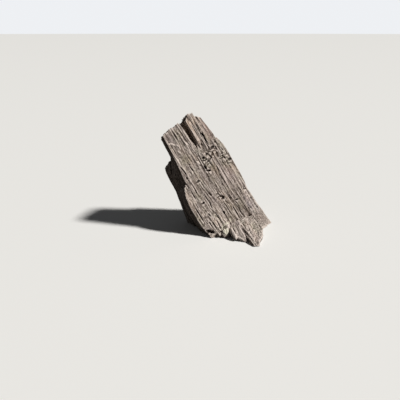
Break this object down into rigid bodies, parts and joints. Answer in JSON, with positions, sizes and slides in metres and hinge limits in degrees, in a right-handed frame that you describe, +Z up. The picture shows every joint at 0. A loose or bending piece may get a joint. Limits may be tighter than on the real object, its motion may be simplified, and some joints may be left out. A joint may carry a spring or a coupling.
{
  "type": "aquascape stone",
  "caption": "Leaning slab of wood-grained stone with long ridges, a split top, pits and a flared foot, for dressing an aquarium.",
  "frame": {"origin": "bottom centre of the bounding box, on the flat base", "axes": "+Z up, -Y to the front as the stone was seen, +X to the right; the broad face turns to the right of the front"},
  "size_m": [0.1984, 0.146, 0.2057],
  "materials": {
    "stone": "rough"
  },
  "bodies": {
    "root": {"stone": "stone"}
  },
  "joints": []
}
